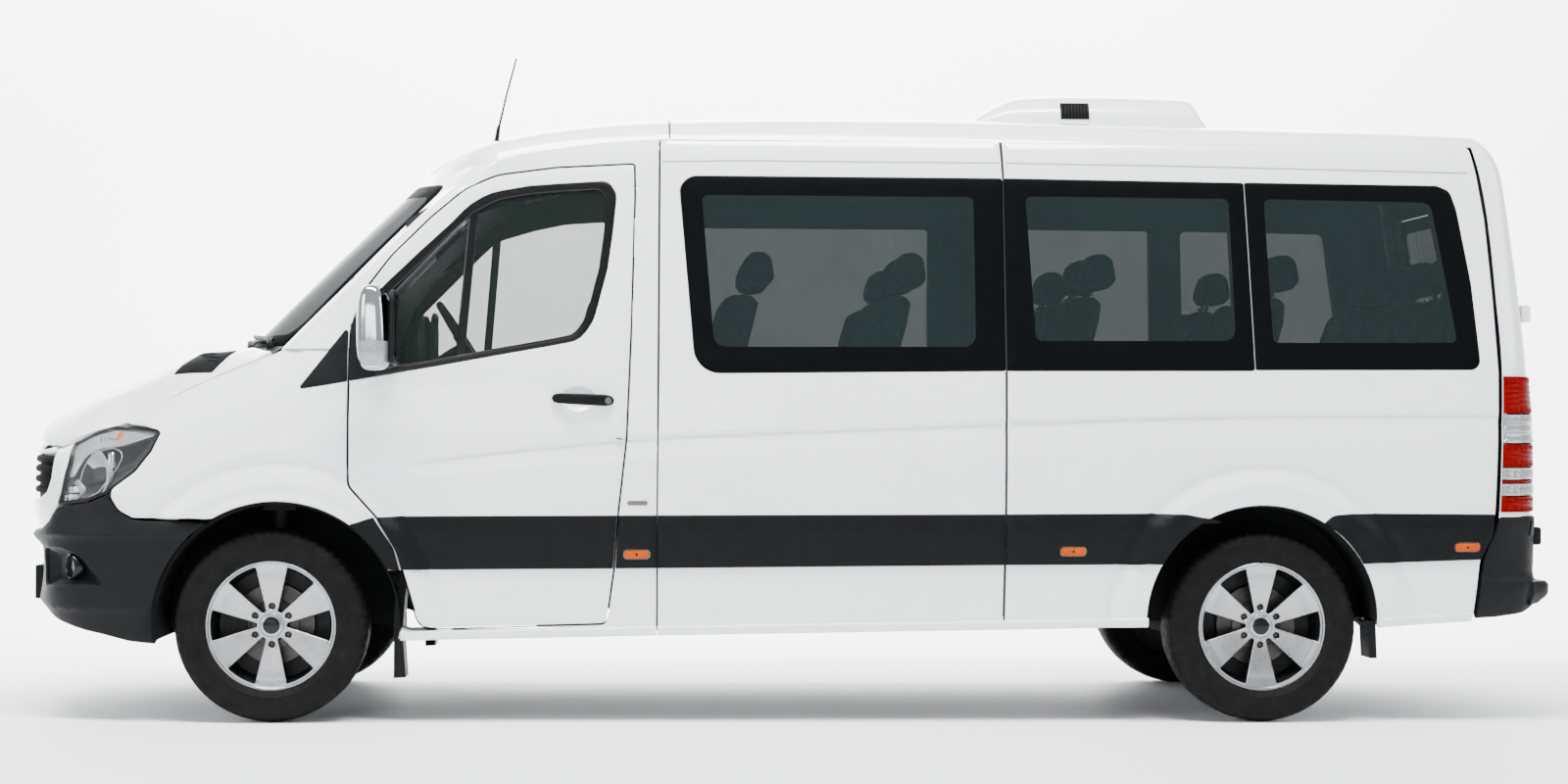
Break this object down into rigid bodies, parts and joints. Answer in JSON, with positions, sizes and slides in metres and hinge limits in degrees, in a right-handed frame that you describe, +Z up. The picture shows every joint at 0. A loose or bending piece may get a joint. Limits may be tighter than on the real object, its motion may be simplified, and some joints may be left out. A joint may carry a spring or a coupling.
{
  "type": "minibus",
  "caption": "Low-roof passenger minibus with hollow cabin, seats, opening cab doors, tail doors and bonnet, steered front wheels and a roof cooling unit.",
  "frame": {"origin": "on the ground under the middle of the bounding box", "axes": "+X towards the nose, +Y towards the left side, +Z up"},
  "size_m": [5.788, 2.412, 2.4859],
  "materials": {
    "body_paint": "white gloss",
    "glass": "light green tint, clear",
    "dark_glass": "dark privacy tint",
    "lamp_clear": "clear lens",
    "lamp_red": "red and clear lens",
    "dark_plastic": "fine grained anthracite",
    "cabin_plastic": "grained",
    "seat_fabric": "dark woven",
    "tyre": "matt",
    "alloy": "painted silver",
    "mirror_shell": "polished",
    "running_gear": "black painted",
    "underside": "dark coated"
  },
  "bodies": {
    "body": {"floor_pan": "body_paint", "chassis_frame": "running_gear", "engine_block": "running_gear", "front_suspension": "running_gear", "rear_axle": "running_gear", "leaf_springs": "running_gear", "fuel_tank": "underside", "exhaust": "underside", "left_wing": "body_paint", "right_wing": "body_paint", "headlamps": "lamp_clear", "grille": "dark_plastic", "front_bumper": "dark_plastic", "bumper_beam": "running_gear", "cab_frame": "body_paint", "windscreen": "glass", "roof_panel": "body_paint", "left_side_panel": "body_paint", "sliding_door": "body_paint", "left_rear_quarter": "body_paint", "right_rear_quarter": "body_paint", "side_windows": "dark_glass", "tail_lamps": "lamp_red", "rear_frame": "body_paint", "rear_bumper": "dark_plastic", "roof_air_conditioner": "body_paint", "antenna": "dark_plastic", "mud_flaps": "dark_plastic", "dashboard": "cabin_plastic", "front_seats": "seat_fabric", "passenger_seats": "seat_fabric"},
    "left_steering": {"front_left_knuckle": "running_gear"},
    "right_steering": {"front_right_knuckle": "running_gear"},
    "front_left_wheel": {"front_left_tyre": "tyre", "front_left_rim": "alloy"},
    "front_right_wheel": {"front_right_tyre": "tyre", "front_right_rim": "alloy"},
    "rear_left_wheel": {"rear_left_tyre": "tyre", "rear_left_rim": "alloy"},
    "rear_right_wheel": {"rear_right_tyre": "tyre", "rear_right_rim": "alloy"},
    "bonnet_lid": {"bonnet": "body_paint"},
    "left_door": {"front_left_door": "body_paint", "front_left_glass": "glass", "left_mirror": "mirror_shell"},
    "right_door": {"front_right_door": "body_paint", "front_right_glass": "glass", "right_mirror": "mirror_shell"},
    "left_tail_door": {"rear_left_door": "body_paint", "rear_left_glass": "glass"},
    "right_tail_door": {"rear_right_door": "body_paint", "rear_right_glass": "glass"},
    "steering_wheel_body": {"steering_wheel": "cabin_plastic"}
  },
  "joints": [
    {"name": "front_left_steer", "type": "hinge", "parent": "body", "child": "left_steering", "pos_m": [1.896, 0.79, 0.354], "axis": [0, 0, 1], "range_deg": [-35, 35]},
    {"name": "front_right_steer", "type": "hinge", "parent": "body", "child": "right_steering", "pos_m": [1.896, -0.79, 0.354], "axis": [0, 0, 1], "range_deg": [-35, 35]},
    {"name": "front_left_spin", "type": "hinge", "parent": "left_steering", "child": "front_left_wheel", "pos_m": [1.896, 0.852, 0.354], "axis": [0, 1, 0], "continuous": true},
    {"name": "front_right_spin", "type": "hinge", "parent": "right_steering", "child": "front_right_wheel", "pos_m": [1.896, -0.852, 0.354], "axis": [0, 1, 0], "continuous": true},
    {"name": "rear_left_spin", "type": "hinge", "parent": "body", "child": "rear_left_wheel", "pos_m": [-1.769, 0.852, 0.354], "axis": [0, 1, 0], "continuous": true},
    {"name": "rear_right_spin", "type": "hinge", "parent": "body", "child": "rear_right_wheel", "pos_m": [-1.769, -0.852, 0.354], "axis": [0, 1, 0], "continuous": true},
    {"name": "bonnet_hinge", "type": "hinge", "parent": "body", "child": "bonnet_lid", "pos_m": [1.872, 0, 1.392], "axis": [0, -1, 0], "range_deg": [0, 50]},
    {"name": "front_left_door_hinge", "type": "hinge", "parent": "body", "child": "left_door", "pos_m": [1.634, 1.004, 1.1], "axis": [0, 0, -1], "range_deg": [0, 70]},
    {"name": "front_right_door_hinge", "type": "hinge", "parent": "body", "child": "right_door", "pos_m": [1.634, -1.004, 1.1], "axis": [0, 0, 1], "range_deg": [0, 70]},
    {"name": "rear_left_door_hinge", "type": "hinge", "parent": "body", "child": "left_tail_door", "pos_m": [-2.868, 0.806, 0.8], "axis": [-0.0647, 0, -0.9979], "range_deg": [0, 180]},
    {"name": "rear_right_door_hinge", "type": "hinge", "parent": "body", "child": "right_tail_door", "pos_m": [-2.868, -0.806, 0.8], "axis": [0.0647, 0, 0.9979], "range_deg": [0, 180]},
    {"name": "steering_wheel_turn", "type": "hinge", "parent": "body", "child": "steering_wheel_body", "pos_m": [1.217, 0.43, 1.396], "axis": [-0.84, 0, 0.5425], "range_deg": [-520, 520]}
  ],
  "couplings": [
    {"joint": "front_right_steer", "follows": "front_left_steer", "ratio": 1},
    {"joint": "steering_wheel_turn", "follows": "front_left_steer", "ratio": 14.5}
  ]
}
